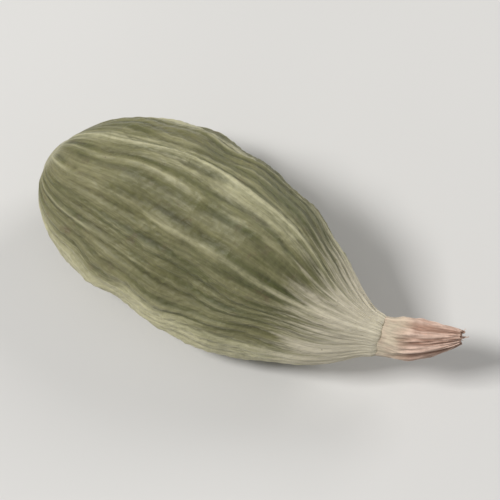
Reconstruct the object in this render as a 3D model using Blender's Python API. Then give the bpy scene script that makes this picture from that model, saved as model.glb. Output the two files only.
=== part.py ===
"""Green cardamom pod: a dried, three-sided husk and the withered flower at the end of its beak.

Units are metres and +Z is up. The pod lies on one of its three faces with the beak towards +X.
The origin is the middle of the small flat spot that it rests on. Distances along the pod, called
s, run from the stalk end; angles round it run from +Y towards +Z.
"""

import bpy
import numpy as np

MM = 0.001

# Body of the husk
BODY_LENGTH = 15.6 * MM
BELLY_AT = 6.6 * MM
BELLY_RADIUS = 3.80 * MM
BASE_BLUNTNESS = 2.65
APEX_BLUNTNESS = 2.4
HEIGHT_TO_WIDTH = 0.90
BASE_SLANT = 0.36
BASE_SLANT_REACH = 4.0 * MM

# Its axis: how high it lies, how it bows sideways, and where it stands over the flat spot
AXIS_HEIGHT = 2.98 * MM
AXIS_BOW = 0.0075 / MM
REST_AT = 6.6 * MM

# Three ridges, back, top and front: each runs out over this length before its own end
RIDGE_ANGLES = np.radians([-28.0, 80.0, 208.0])
RIDGE_HEIGHTS = np.array([0.36, 0.42, 0.37])
RIDGE_ENDS = np.array([14.0, 14.4, 18.2]) * MM
RIDGE_RUN_OUT = 4.2 * MM
RIDGE_SHARPNESS = 3.6
FACE_RADIUS = 0.78
BASE_SHARE = 0.45
OPENS_BY = 4.0 * MM

# Raised veins that run from the stalk end to the neck
VEINS = 21
VEIN_HEIGHT = 0.26 * MM
VEIN_POWER = 1.3
VEIN_WEAKEST = 0.45
VEIN_ON_RIDGE = 1.15
VEIN_SWELLING = 0.28
VEIN_SWELL_LENGTHS = (5.0 * MM, 11.0 * MM)
VEIN_STARTS = (0.02 * MM, 0.50 * MM)
VEIN_WANDER = 0.045
VEIN_SEED = 7

# Soft bulges over the seeds, two staggered rows beside each ridge
SEED_PITCH = 2.7 * MM
SEED_BULGE = 0.07 * MM
SEED_ROW_ANGLE = np.radians(24.0)
SEED_ROW_SHARPNESS = 14.0
SEED_ROW_STARTS = (1.0 * MM, 3.5 * MM)
SEED_ROW_ENDS = (10.5 * MM, 13.0 * MM)

# Shallow hollows where the drying husk sank: angle, distance, depth, half width, half length
HOLLOWS = (
    (np.radians(208.0), 5.3 * MM, 0.22 * MM, np.radians(24.0), 0.9 * MM),
    (np.radians(150.0), 8.6 * MM, 0.16 * MM, np.radians(17.0), 2.1 * MM),
    (np.radians(122.0), 4.4 * MM, 0.12 * MM, np.radians(14.0), 1.4 * MM),
    (np.radians(30.0), 7.2 * MM, 0.15 * MM, np.radians(16.0), 2.4 * MM),
    (np.radians(78.0), 10.6 * MM, 0.12 * MM, np.radians(20.0), 0.9 * MM),
    (np.radians(0.0), 9.4 * MM, 0.45 * MM, np.radians(30.0), 2.4 * MM),
)

# Stalk scar in the middle of the base: a raised collar with a dimple inside it
SCAR_RADIUS = 0.72 * MM
SCAR_COLLAR_WIDTH = 0.25 * MM
SCAR_COLLAR = 0.10 * MM
SCAR_DIMPLE_RADIUS = 0.43 * MM
SCAR_DIMPLE = 0.24 * MM

# Neck, or beak: round, hooked towards the back, with a socket in its end
NECK_RADIUS = 0.76 * MM
NECK_END = 15.6 * MM
HOOK_START = 12.6 * MM
HOOK_RATE = 0.13 / MM
HOOK_DIRECTION = np.array([0.97, 0.24])
SOCKET_RADIUS = 0.44 * MM
SOCKET_DEPTH = 0.60 * MM
RIM_CROWN = 0.05 * MM

# Withered flower: a pleated nub rooted in the socket, with a ragged rim and a small mouth
REMNANT_GAP = 0.03 * MM
REMNANT_LENGTH = 3.00 * MM
REMNANT_STATIONS = np.array([0.00, 0.25, 0.70, 1.25, 1.90, 2.50, 3.00]) * MM
REMNANT_RADII = np.array([0.72, 0.82, 0.86, 0.82, 0.68, 0.51, 0.33]) * MM
REMNANT_CURL = 0.15 / MM
PLEATS = 7
PLEAT_DEPTH = 0.10
BROAD_PLEATS = 3
BROAD_PLEAT_SHARE = 0.4
RAGGED_HEIGHT = 0.10 * MM
MOUTH_SHARE = 0.60
MOUTH_DEPTH = 0.40 * MM

# Facets
COLUMNS = 4 * VEINS
ROWS = 62
ROW_CROWDING = 0.35
REMNANT_COLUMNS = 28
REMNANT_ROWS = 11

HUSK_COLOUR = (0.235, 0.220, 0.125, 1.0)
HUSK_ROUGHNESS = 0.62
REMNANT_COLOUR = (0.480, 0.355, 0.275, 1.0)
REMNANT_ROUGHNESS = 0.75

TURN = 2.0 * np.pi


def clear_scene():
    """Remove every object that the file holds."""
    for item in list(bpy.data.objects):
        bpy.data.objects.remove(item, do_unlink=True)


def material(name, colour, roughness):
    """A plain Principled BSDF with this colour and roughness."""
    made = bpy.data.materials.new(name)
    made.use_nodes = True
    shader = made.node_tree.nodes["Principled BSDF"]
    shader.inputs["Base Color"].default_value = colour
    shader.inputs["Roughness"].default_value = roughness
    shader.inputs["Metallic"].default_value = 0.0
    return made


def fade(low, high, value):
    """Smooth step from 0 at low to 1 at high."""
    t = np.clip((value - low) / (high - low), 0.0, 1.0)
    return t * t * (3.0 - 2.0 * t)


def body_radius(s):
    """Half a superellipse from the base to the belly, a power curve from there to the apex."""
    towards_base = np.clip(1.0 - s / BELLY_AT, 0.0, 1.0)
    towards_apex = np.clip((s - BELLY_AT) / (BODY_LENGTH - BELLY_AT), 0.0, 1.0)
    base_side = np.sqrt(1.0 - towards_base**BASE_BLUNTNESS)
    apex_side = 1.0 - towards_apex**APEX_BLUNTNESS
    return BELLY_RADIUS * np.where(s < BELLY_AT, base_side, apex_side)


def husk_radius(s):
    """The body's radius blended into the neck's, as the cube root of their cubes' sum."""
    neck = NECK_RADIUS * fade(BELLY_AT, BODY_LENGTH, s)
    return np.cbrt(body_radius(s) ** 3 + neck**3)


def trigonous(s, end):
    """How three-sided the section is: in part at the base, fully at the belly, not past the end."""
    opening = BASE_SHARE + (1.0 - BASE_SHARE) * fade(0.0, OPENS_BY, s)
    return opening * (1.0 - fade(end - RIDGE_RUN_OUT, end, s))


def section(angle, s):
    """Unit section: a circle drawn in at the faces, with a rounded swell at each ridge."""
    radius = 1.0 - (1.0 - FACE_RADIUS) * trigonous(s, BODY_LENGTH)
    for ridge, height, end in zip(RIDGE_ANGLES, RIDGE_HEIGHTS, RIDGE_ENDS):
        swell = np.exp(RIDGE_SHARPNESS * (np.cos(angle - ridge) - 1.0))
        radius = radius + height * trigonous(s, end) * swell
    return radius


def column_angle(v, s):
    """Angle of a column: even from ridge to ridge, pushed about unevenly, and wandering along s."""
    knots = np.append(RIDGE_ANGLES, RIDGE_ANGLES[0] + TURN)
    even = np.interp(v * 3.0, np.arange(4), knots)
    uneven = 0.040 * np.sin(TURN * (4.0 * v + 0.3)) + 0.030 * np.sin(TURN * (7.0 * v + 0.1))
    along = s / BODY_LENGTH
    slow = np.sin(TURN * (1.3 * along + 3.0 * v))
    quick = 0.6 * np.sin(TURN * (2.4 * along + 5.0 * v + 0.16))
    reach = fade(0.0, 0.2, along) * (1.0 - fade(0.7, 1.0, along))
    return even + uneven + VEIN_WANDER * reach * (slow + quick)


def vein_relief(v, s):
    """Height of the veins: one narrow crest each, of its own strength, swelling along the pod."""
    random = np.random.default_rng(VEIN_SEED)
    strength = random.uniform(VEIN_WEAKEST, 1.0, VEINS)
    strength[:: VEINS // 3] = VEIN_ON_RIDGE
    swell_start = random.uniform(0.0, TURN, VEINS)
    swell_length = random.uniform(*VEIN_SWELL_LENGTHS, VEINS)
    nearest = np.round(v * VEINS).astype(int) % VEINS
    crest = (0.5 + 0.5 * np.cos(TURN * v * VEINS)) ** VEIN_POWER
    swelling = np.sin(TURN * s / swell_length[nearest] + swell_start[nearest])
    height = VEIN_HEIGHT * strength[nearest] * (1.0 - VEIN_SWELLING * (1.0 - swelling))
    return height * crest * (husk_radius(s) / BELLY_RADIUS) ** 0.8 * fade(*VEIN_STARTS, s)


def seed_relief(angle, s):
    """Soft bulges in two rows beside each ridge, half a pitch out of step with each other."""
    relief = np.zeros(np.broadcast(angle, s).shape)
    for number, ridge in enumerate(RIDGE_ANGLES):
        for side in (-1.0, 1.0):
            off_row = np.cos(angle - ridge - side * SEED_ROW_ANGLE) - 1.0
            step = np.cos(TURN * (s / SEED_PITCH + 0.25 * side + 0.3 * number))
            relief = relief + SEED_BULGE * np.exp(SEED_ROW_SHARPNESS * off_row) * step
    return relief * fade(*SEED_ROW_STARTS, s) * (1.0 - fade(*SEED_ROW_ENDS, s))


def hollow_relief(angle, s):
    """The shallow hollows, each a smooth dent that fades out round its middle."""
    relief = np.zeros(np.broadcast(angle, s).shape)
    for middle, distance, depth, half_width, half_length in HOLLOWS:
        turned = np.sin(0.5 * (angle - middle)) * 2.0 / half_width
        relief = relief - depth * np.exp(-(turned**2) - ((s - distance) / half_length) ** 2)
    return relief


def axis_point(s):
    """Axis of the pod: a parabola that bows in Y, with the neck's hook as a second parabola."""
    hook = 0.5 * HOOK_RATE * np.maximum(s - HOOK_START, 0.0) ** 2
    y = hook * HOOK_DIRECTION[0] - AXIS_BOW * (s - BELLY_AT) ** 2
    z = hook * HOOK_DIRECTION[1] + AXIS_HEIGHT
    return np.stack(np.broadcast_arrays(s - REST_AT, y, z), axis=-1)


def axis_frame(s):
    """Unit vectors along the axis, across it and up from it."""
    slope = HOOK_RATE * np.maximum(s - HOOK_START, 0.0)
    along_y = slope * HOOK_DIRECTION[0] - 2.0 * AXIS_BOW * (s - BELLY_AT)
    along = np.stack(np.broadcast_arrays(1.0, along_y, slope * HOOK_DIRECTION[1]), axis=-1)
    along = along / np.linalg.norm(along, axis=-1, keepdims=True)
    across = np.cross([0.0, 0.0, 1.0], along)
    across = across / np.linalg.norm(across, axis=-1, keepdims=True)
    return along, across, np.cross(along, across)


def ring_points(s, radius, angle, flatness=1.0):
    """Points at this radius and angle in the plane square to the axis at s."""
    along, across, up = axis_frame(s)
    sideways = (radius * np.cos(angle))[..., None]
    upwards = (radius * np.sin(angle) * flatness)[..., None]
    return axis_point(s) + across * sideways + up * upwards


def scar_push(radius):
    """Push along the axis at the base: back inside the dimple, out at the collar."""
    collar = SCAR_COLLAR * np.exp(-(((radius - SCAR_RADIUS) / SCAR_COLLAR_WIDTH) ** 2))
    dimple = SCAR_DIMPLE * np.exp(-((radius / SCAR_DIMPLE_RADIUS) ** 2))
    return dimple - collar


def husk_surface(v, s):
    """Outer surface: section times radius, plus veins, seed bulges and hollows, flat below."""
    angle = column_angle(v, s)
    plain = husk_radius(s)
    relief = vein_relief(v, s) + seed_relief(angle, s) + hollow_relief(angle, s)
    flatness = HEIGHT_TO_WIDTH + (1.0 - HEIGHT_TO_WIDTH) * fade(BELLY_AT, BODY_LENGTH, s)
    points = ring_points(s, plain * section(angle, s) + relief, angle, flatness)
    slant = BASE_SLANT * np.exp(-s / BASE_SLANT_REACH)
    points[..., 0] += slant * points[..., 1] + scar_push(plain) * (s < BELLY_AT)
    points[..., 2] = np.maximum(points[..., 2], 0.0)
    return points


def husk_rings():
    """Rings from the base to the neck's end, crowded at the base, then down into the socket."""
    u = np.arange(1, ROWS + 1) / ROWS
    s = NECK_END * u**2 / (u + ROW_CROWDING * (1.0 - u))
    v = np.arange(COLUMNS) / COLUMNS
    outer = husk_surface(v[None, :], s[:, None])
    end = axis_point(NECK_END)
    along = axis_frame(NECK_END)[0]
    mouth = ring_points(NECK_END, np.full(COLUMNS, SOCKET_RADIUS), column_angle(v, NECK_END))
    crown = 0.5 * (outer[-1] + mouth) + RIM_CROWN * along
    floor = mouth - SOCKET_DEPTH * along
    start = husk_surface(np.zeros(1), np.zeros(1))[0]
    return start, [*outer, crown, mouth, 0.5 * (mouth + floor), floor], end - SOCKET_DEPTH * along


def remnant_rings():
    """Root in the socket, pleated outside to a ragged rim, then in to the bottom of the mouth."""
    end = axis_point(NECK_END)
    along, across, up = axis_frame(NECK_END)
    curl = HOOK_DIRECTION[0] * across + HOOK_DIRECTION[1] * up
    angle = TURN * np.arange(REMNANT_COLUMNS) / REMNANT_COLUMNS
    outward = np.cos(angle)[:, None] * across + np.sin(angle)[:, None] * up
    pleat = np.cos(PLEATS * angle + 0.7) + BROAD_PLEAT_SHARE * np.cos(BROAD_PLEATS * angle)
    ragged = RAGGED_HEIGHT * (np.sin(3.0 * angle + 1.0) + 0.6 * np.sin(5.0 * angle))

    def ring(w, radius, lift=0.0):
        """Ring of this radius at w past the neck's end, each point lifted along the axis."""
        centre = end + w * along + 0.5 * REMNANT_CURL * max(w, 0.0) ** 2 * curl
        return centre + outward * np.reshape(radius, (-1, 1)) + along * np.reshape(lift, (-1, 1))

    bottom = REMNANT_GAP - SOCKET_DEPTH
    top = REMNANT_GAP + RIM_CROWN
    root = SOCKET_RADIUS - REMNANT_GAP
    rings = [ring(bottom, root), ring(top, root)]
    for share in np.linspace(0.0, 1.0, REMNANT_ROWS):
        w = top + share * (REMNANT_LENGTH - top)
        pleated = 1.0 + PLEAT_DEPTH * fade(0.0, 0.4, share) * pleat
        radius = np.interp(w, REMNANT_STATIONS, REMNANT_RADII) * pleated
        rings.append(ring(w, radius, ragged * fade(0.6, 1.0, share)))
    mouth = MOUTH_SHARE * REMNANT_RADII[-1]
    bottom_of_mouth = REMNANT_LENGTH - MOUTH_DEPTH
    rings.append(ring(REMNANT_LENGTH, mouth, ragged))
    rings.append(ring(bottom_of_mouth, 0.6 * mouth))
    return ring(bottom, 0.0)[0], rings, ring(bottom_of_mouth, 0.0)[0]


def closed_object(name, start, rings, finish, surface):
    """One closed object: a point, rings of equal count and a point, in triangles facing out."""
    count = len(rings[0])
    points = np.vstack([start[None, :], *rings, finish[None, :]])
    here = np.arange(count)
    ahead = (here + 1) % count
    faces = [np.stack([np.zeros(count, int), 1 + ahead, 1 + here], axis=1)]
    for number in range(len(rings) - 1):
        low = 1 + number * count
        high = low + count
        faces.append(np.stack([low + here, high + ahead, high + here], axis=1))
        faces.append(np.stack([low + here, low + ahead, high + ahead], axis=1))
    low = 1 + (len(rings) - 1) * count
    faces.append(np.stack([low + here, low + ahead, np.full(count, len(points) - 1)], axis=1))
    mesh = bpy.data.meshes.new(name)
    mesh.from_pydata(points.tolist(), [], np.vstack(faces).tolist())
    mesh.materials.append(surface)
    mesh.shade_smooth()
    made = bpy.data.objects.new(name, mesh)
    bpy.context.collection.objects.link(made)
    return made


def main():
    clear_scene()
    husk_material = material("husk", HUSK_COLOUR, HUSK_ROUGHNESS)
    remnant_material = material("flower_remnant", REMNANT_COLOUR, REMNANT_ROUGHNESS)
    closed_object("husk", *husk_rings(), husk_material)
    closed_object("flower_remnant", *remnant_rings(), remnant_material)


main()
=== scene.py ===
"""Finish of a green cardamom pod: the veined, papery husk and the withered flower on its beak.

The packed solids are the frame. Each piece is a surface of two parameters, worked out on a grid:
v runs once round the pod, s runs along it from the stalk end, in metres. Angles run from +Y
towards +Z. The form is the solids' own, with finer veins; ribs, wrinkles and torn edges are added.
"""

import bpy
import numpy as np
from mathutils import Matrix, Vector


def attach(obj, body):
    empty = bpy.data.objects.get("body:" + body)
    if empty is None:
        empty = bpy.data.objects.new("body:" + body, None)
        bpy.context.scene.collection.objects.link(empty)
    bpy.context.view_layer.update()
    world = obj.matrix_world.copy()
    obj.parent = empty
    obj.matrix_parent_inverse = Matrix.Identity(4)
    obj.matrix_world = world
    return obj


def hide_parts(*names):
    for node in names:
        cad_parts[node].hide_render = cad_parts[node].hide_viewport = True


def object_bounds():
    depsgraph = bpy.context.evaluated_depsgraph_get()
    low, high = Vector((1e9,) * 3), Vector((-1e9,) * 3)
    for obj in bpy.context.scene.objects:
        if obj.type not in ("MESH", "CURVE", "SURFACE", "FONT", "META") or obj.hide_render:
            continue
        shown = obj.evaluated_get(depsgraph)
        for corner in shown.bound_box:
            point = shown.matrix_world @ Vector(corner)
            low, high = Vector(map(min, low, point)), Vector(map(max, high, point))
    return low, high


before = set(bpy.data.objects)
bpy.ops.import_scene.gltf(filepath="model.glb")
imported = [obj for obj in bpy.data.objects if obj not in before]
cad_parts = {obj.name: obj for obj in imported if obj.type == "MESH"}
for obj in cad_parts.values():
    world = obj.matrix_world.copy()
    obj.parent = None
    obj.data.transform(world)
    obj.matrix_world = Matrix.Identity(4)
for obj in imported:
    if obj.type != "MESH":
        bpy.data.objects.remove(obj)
CAD_BOX = [list(map(float, corner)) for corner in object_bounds()]

bl_info = {
    "name": "Green Cardamom Pod",
    "version": (1, 0, 0),
    "blender": (4, 5, 0),
    "location": "View3D > Sidebar > Pod",
    "description": "Builds a dried green cardamom pod with its veins, wrinkles and withered flower",
    "category": "Add Mesh",
}

MM = 0.001
TURN = 2.0 * np.pi

# Form shared with the solids, down to the flower's mouth. Ridges: angle, height, end and run-out
RIDGE_ANGLES = np.radians([-28.0, 80.0, 208.0])
RIDGE_HEIGHTS = np.array([0.36, 0.42, 0.37])
RIDGE_ENDS = np.array([14.0, 14.4, 18.2]) * MM
RIDGE_RUN_OUT = 4.2 * MM
RIDGE_SHARPNESS = 3.6
FACE_RADIUS = 0.78
BASE_SHARE = 0.45
OPENS_BY = 4.0 * MM

# Body and axis: blunt, slanted base, sideways bow, place over the flat spot and the neck's hook
BASE_BLUNTNESS = 2.65
APEX_BLUNTNESS = 2.4
BASE_SLANT = 0.36
BASE_SLANT_REACH = 4.0 * MM
AXIS_BOW = 0.0075 / MM
REST_AT = 6.6 * MM
HOOK_START = 12.6 * MM
HOOK_RATE = 0.13 / MM
HOOK_DIRECTION = np.array([0.97, 0.24])
RIM_CROWN = 0.05 * MM

# Raised veins from the stalk end to the neck: the solids' own, but lower and narrower
VEINS = 21
VEIN_POWER = 2.0
VEIN_WEAKEST = 0.45
VEIN_ON_RIDGE = 1.15
VEIN_SWELLING = 0.28
VEIN_SWELL_LENGTHS = (5.0 * MM, 11.0 * MM)
VEIN_STARTS = (0.02 * MM, 0.50 * MM)
VEIN_WANDER = 0.045
VEIN_SEED = 7

# Soft bulges over the seeds
SEED_PITCH = 2.7 * MM
SEED_BULGE = 0.07 * MM
SEED_ROW_ANGLE = np.radians(24.0)
SEED_ROW_SHARPNESS = 14.0
SEED_ROW_STARTS = (1.0 * MM, 3.5 * MM)
SEED_ROW_ENDS = (10.5 * MM, 13.0 * MM)

# Shallow hollows: angle, distance, depth, half width, half length
HOLLOWS = (
    (np.radians(208.0), 5.3 * MM, 0.22 * MM, np.radians(24.0), 0.9 * MM),
    (np.radians(150.0), 8.6 * MM, 0.16 * MM, np.radians(17.0), 2.1 * MM),
    (np.radians(122.0), 4.4 * MM, 0.12 * MM, np.radians(14.0), 1.4 * MM),
    (np.radians(30.0), 7.2 * MM, 0.15 * MM, np.radians(16.0), 2.4 * MM),
    (np.radians(78.0), 10.6 * MM, 0.12 * MM, np.radians(20.0), 0.9 * MM),
    (np.radians(0.0), 9.4 * MM, 0.45 * MM, np.radians(30.0), 2.4 * MM),
)

# Stalk scar in the middle of the base: a raised collar with a dimple inside it
SCAR_RADIUS = 0.72 * MM
SCAR_COLLAR_WIDTH = 0.25 * MM
SCAR_COLLAR = 0.10 * MM
SCAR_DIMPLE_RADIUS = 0.43 * MM
SCAR_DIMPLE = 0.24 * MM

# Withered flower: its profile, its curl, its pleats and its mouth's width
REMNANT_GAP = 0.03 * MM
REMNANT_STATIONS = np.array([0.00, 0.25, 0.70, 1.25, 1.90, 2.50, 3.00]) * MM
REMNANT_RADII = np.array([0.72, 0.82, 0.86, 0.82, 0.68, 0.51, 0.33]) * MM
REMNANT_CURL = 0.15 / MM
PLEATS = 7
PLEATS_START = 0.7
BROAD_PLEATS = 3
BROAD_PLEAT_SHARE = 0.4
MOUTH_SHARE = 0.60

# From here on, what only this script adds. Flower: a smoother profile, narrow pleats between the
# broad ones, a skirt that laps over the neck's rim, a torn edge and a rolled-in mouth
PROFILE_POINTS = 200
PROFILE_SMOOTHING = 25
NARROW_PLEATS = 3.0 * PLEATS
NARROW_PLEAT_SHARE = 0.35
NARROW_PLEAT_BEND = 0.9
SKIRT_OVERLAP = 0.13 * MM
SKIRT_SHARE = 0.22
SKIRT_INSET = 0.93
SKIRT_UNEVENNESS = 0.35
TORN_HEIGHT = 0.04 * MM
END_GATHER = 0.14
ROLL_IN = 0.04 * MM
LINING_ROWS = 11

# Narrow ribs of the husk: place between two veins, power and height
RIBS = (
    (0.00, 4.0, 0.080 * MM),
    (0.50, 3.5, 0.165 * MM),
    (0.25, 3.0, 0.045 * MM),
    (0.75, 3.0, 0.045 * MM),
)
RIB_SEED = 21
RIB_STRENGTHS = (0.65, 1.0)
RIB_BEND = 0.05
RIB_FULL_HEIGHT = 0.14 * MM

# How far a point stands over its surroundings: columns on each side, and the span from 0 to 1
NEIGHBOUR_COLUMNS = 10
RAISED_SPAN = 0.26 * MM

# Rounded rim of the neck: share of the radius taken off, and the length that it takes
RIM_ROUNDING = 0.13
RIM_ROUNDING_REACH = 0.40 * MM

# Pale skin: a line on each vein, and soft bands given by angle, sharpness and strength
TONE_SEED = 13
VEIN_TONES = (0.05, 0.44)
RIDGE_TONE = 0.75
LINE_POWER = 5.0
PALE_BANDS = (
    (np.radians(-28.0), 20.0, 0.55),
    (np.radians(25.0), 30.0, 0.95),
    (np.radians(80.0), 60.0, 0.50),
    (np.radians(201.0), 13.0, 1.15),
)

# Back face painted greener and darker, partly its own green and partly painted shade of the side turned from
# the light: the way it faces, and the cosines of the turn from there where it starts and is full
SHADED_BACK_ANGLE = np.radians(30.0)
SHADED_BACK_NEARNESS = (0.15, 0.90)

# Cross wrinkles in the gaps between ribs
WRINKLE_SEED = 5
WRINKLE_PITCHES = (0.45 * MM, 0.85 * MM)
WRINKLE_BEND = 0.75
WRINKLE_PATCHINESS = (-0.5, 1.4)

# Sums of waves: seed, number of waves, least and most cycles round the pod, lengths along it
RIB_BENDS = (22, 6, (2, 8), (4.0 * MM, 11.0 * MM))
WRINKLE_BENDS = (6, 10, (6, 30), (0.9 * MM, 3.0 * MM))
WRINKLE_PATCHES = (7, 8, (2, 8), (2.5 * MM, 7.0 * MM))
SHRINK_WAVES = (11, 12, (1, 6), (2.5 * MM, 7.0 * MM))
PUCKER_WAVES = (31, 16, (9, 26), (0.9 * MM, 2.6 * MM))
GRAIN_WAVES = (3, 24, (20, 110), (0.30 * MM, 0.9 * MM))
PLEAT_BENDS = (17, 6, (1, 5), (0.8 * MM, 2.5 * MM))
CRINKLE_WAVES = (18, 24, (12, 46), (0.9 * MM, 3.0 * MM))
TORN_WAVES = (19, 10, (9, 45), (1.0 * MM, 2.0 * MM))
SKIRT_WAVES = (20, 8, (1, 7), (1.0 * MM, 2.0 * MM))

# The ribs come and go by waves of their own, with a seed for each kind of rib
RIB_PATCH_SEED = 23
RIB_PATCHES = (8, (4, 16), (2.5 * MM, 8.0 * MM))

# Loose threads: how many, how far from the middle they stand, how far they lean, and lengths
THREAD_RADII = (0.028 * MM, 0.055 * MM)
THREAD_TAPER = 0.7
SCAR_SEED = 41
SCAR_THREADS = 16
SCAR_REACH = (0.0, 0.34 * MM)
SCAR_LEAN = 0.4
SCAR_LENGTHS = (0.14 * MM, 0.26 * MM)
MOUTH_SEED = 42
MOUTH_THREADS = 7
MOUTH_REACH = (0.02 * MM, 0.10 * MM)
MOUTH_LEAN = 0.25
MOUTH_LENGTHS = (0.34 * MM, 0.50 * MM)
MOUTH_ROOT = 0.05 * MM
MOUTH_CURL = 0.35

# Lamps: name, setting of its power, size and place in lengths of the pod's diagonal
LAMPS = (
    ("key_light", "key_power", 3.2, (-5.5, -4.5, 9.5)),
    ("fill_light", "fill_power", 5.0, (3.0, 9.0, 6.0)),
)
FLOOR_AT = -0.01 * MM

# Grid sizes
HUSK_COLUMNS = 20 * VEINS
HUSK_ROWS = 226
ROW_CROWDING = 0.35
SOCKET_ROWS = 4
THREAD_ROWS = 14
THREAD_COLUMNS = 10
REMNANT_COLUMNS = 252
REMNANT_ROWS = 120


class HuskForm(bpy.types.PropertyGroup):
    """Sizes of the husk."""

    body_length: bpy.props.FloatProperty(
        name="Body length", description="Stalk end to where the body has tapered into the neck",
        default=15.6 * MM, unit="LENGTH", precision=5)
    belly_at: bpy.props.FloatProperty(
        name="Belly at", description="Distance of the widest section from the stalk end",
        default=6.6 * MM, unit="LENGTH", precision=5)
    belly_radius: bpy.props.FloatProperty(
        name="Belly radius", description="Radius of the widest section before its ridges",
        default=3.80 * MM, unit="LENGTH", precision=5)
    height_to_width: bpy.props.FloatProperty(
        name="Height to width", description="How much the pod is flattened",
        default=0.90, subtype="FACTOR", min=0.5, max=1.0)
    axis_height: bpy.props.FloatProperty(
        name="Axis height", description="Height of the pod's axis over what it lies on",
        default=2.98 * MM, unit="LENGTH", precision=5)
    neck_radius: bpy.props.FloatProperty(
        name="Neck radius", description="Radius of the beak's neck",
        default=0.76 * MM, unit="LENGTH", precision=5)
    neck_end: bpy.props.FloatProperty(
        name="Neck end", description="Distance of the neck's rim from the stalk end",
        default=15.6 * MM, unit="LENGTH", precision=5)
    socket_radius: bpy.props.FloatProperty(
        name="Socket radius", description="Radius of the hole that the flower is rooted in",
        default=0.44 * MM, unit="LENGTH", precision=5)
    socket_depth: bpy.props.FloatProperty(
        name="Socket depth", description="Depth of the hole that the flower is rooted in",
        default=0.60 * MM, unit="LENGTH", precision=5)
    vein_height: bpy.props.FloatProperty(
        name="Vein height", description="Height of the strongest raised veins",
        default=0.18 * MM, unit="LENGTH", precision=6)
    wrinkle_height: bpy.props.FloatProperty(
        name="Wrinkle height", description="Height of the cross wrinkles between the ribs",
        default=0.030 * MM, unit="LENGTH", precision=6)
    pucker_height: bpy.props.FloatProperty(
        name="Pucker height", description="Height of the leathery puckers",
        default=0.012 * MM, unit="LENGTH", precision=6)
    shrink_height: bpy.props.FloatProperty(
        name="Shrinkage", description="How far the drying skin sank or swelled in broad patches",
        default=0.035 * MM, unit="LENGTH", precision=6)
    grain_height: bpy.props.FloatProperty(
        name="Grain height", description="Height of the small bumps all over the skin",
        default=0.012 * MM, unit="LENGTH", precision=6)


class HuskFinish(bpy.types.PropertyGroup):
    """Colours and gloss of the husk."""

    # Painted shade: the dark olive that the furrows, creases and wrinkles are painted with
    furrow_shade: bpy.props.FloatVectorProperty(
        name="Furrow", description="Dark olive deep between the ribs",
        default=(0.043, 0.037, 0.015), subtype="COLOR", size=3, min=0.0, max=1.0)
    face: bpy.props.FloatVectorProperty(
        name="Face", description="Olive of the faces",
        default=(0.101, 0.099, 0.029), subtype="COLOR", size=3, min=0.0, max=1.0)
    fresh: bpy.props.FloatVectorProperty(
        name="Fresh patch", description="Greener patches",
        default=(0.072, 0.079, 0.021), subtype="COLOR", size=3, min=0.0, max=1.0)
    straw: bpy.props.FloatVectorProperty(
        name="Straw patch", description="Paler, drier patches",
        default=(0.180, 0.165, 0.074), subtype="COLOR", size=3, min=0.0, max=1.0)
    stain: bpy.props.FloatVectorProperty(
        name="Stain", description="Brownish stains and specks",
        default=(0.118, 0.079, 0.043), subtype="COLOR", size=3, min=0.0, max=1.0)
    crest: bpy.props.FloatVectorProperty(
        name="Crest", description="Buff of the ribs",
        default=(0.223, 0.209, 0.102), subtype="COLOR", size=3, min=0.0, max=1.0)
    ridge: bpy.props.FloatVectorProperty(
        name="Ridge", description="Pale straw of the ridges and the scar's collar",
        default=(0.460, 0.434, 0.268), subtype="COLOR", size=3, min=0.0, max=1.0)
    neck: bpy.props.FloatVectorProperty(
        name="Neck", description="Cream of the neck",
        default=(0.600, 0.545, 0.410), subtype="COLOR", size=3, min=0.0, max=1.0)
    roughness: bpy.props.FloatProperty(
        name="Roughness", description="Roughness of the skin on the faces",
        default=0.52, subtype="FACTOR", min=0.0, max=1.0)


class RemnantForm(bpy.types.PropertyGroup):
    """Sizes of the withered flower."""

    length: bpy.props.FloatProperty(
        name="Length", description="Length past the neck's rim",
        default=3.00 * MM, unit="LENGTH", precision=5)
    pleat_depth: bpy.props.FloatProperty(
        name="Pleat depth", description="Depth of the pleats as a share of the radius",
        default=0.10, subtype="FACTOR", min=0.0, max=0.3)
    ragged_height: bpy.props.FloatProperty(
        name="Ragged edge", description="How far the torn rim rises and falls",
        default=0.045 * MM, unit="LENGTH", precision=6)
    mouth_depth: bpy.props.FloatProperty(
        name="Mouth depth", description="Depth of the small mouth in the end",
        default=0.22 * MM, unit="LENGTH", precision=6)
    crinkle_height: bpy.props.FloatProperty(
        name="Crinkle height", description="Height of the fine crinkles",
        default=0.022 * MM, unit="LENGTH", precision=6)


class RemnantFinish(bpy.types.PropertyGroup):
    """Colours of the withered flower."""

    pale: bpy.props.FloatVectorProperty(
        name="Pale", description="Pinkish buff of the raised pleats",
        default=(0.700, 0.505, 0.405), subtype="COLOR", size=3, min=0.0, max=1.0)
    # Painted shade: the darker brown of the grooves between the pleats, also the root colour of the flower's
    # threads
    deep: bpy.props.FloatVectorProperty(
        name="Deep", description="Brown between the pleats",
        default=(0.360, 0.218, 0.158), subtype="COLOR", size=3, min=0.0, max=1.0)
    skirt: bpy.props.FloatVectorProperty(
        name="Skirt", description="Cream where the flower is grown on the neck",
        default=(0.530, 0.452, 0.335), subtype="COLOR", size=3, min=0.0, max=1.0)
    # Brown of the torn rim, also the painted shade inside the mouth
    mouth: bpy.props.FloatVectorProperty(
        name="Mouth", description="Light brown inside the mouth and on the torn rim",
        default=(0.420, 0.292, 0.222), subtype="COLOR", size=3, min=0.0, max=1.0)


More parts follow.
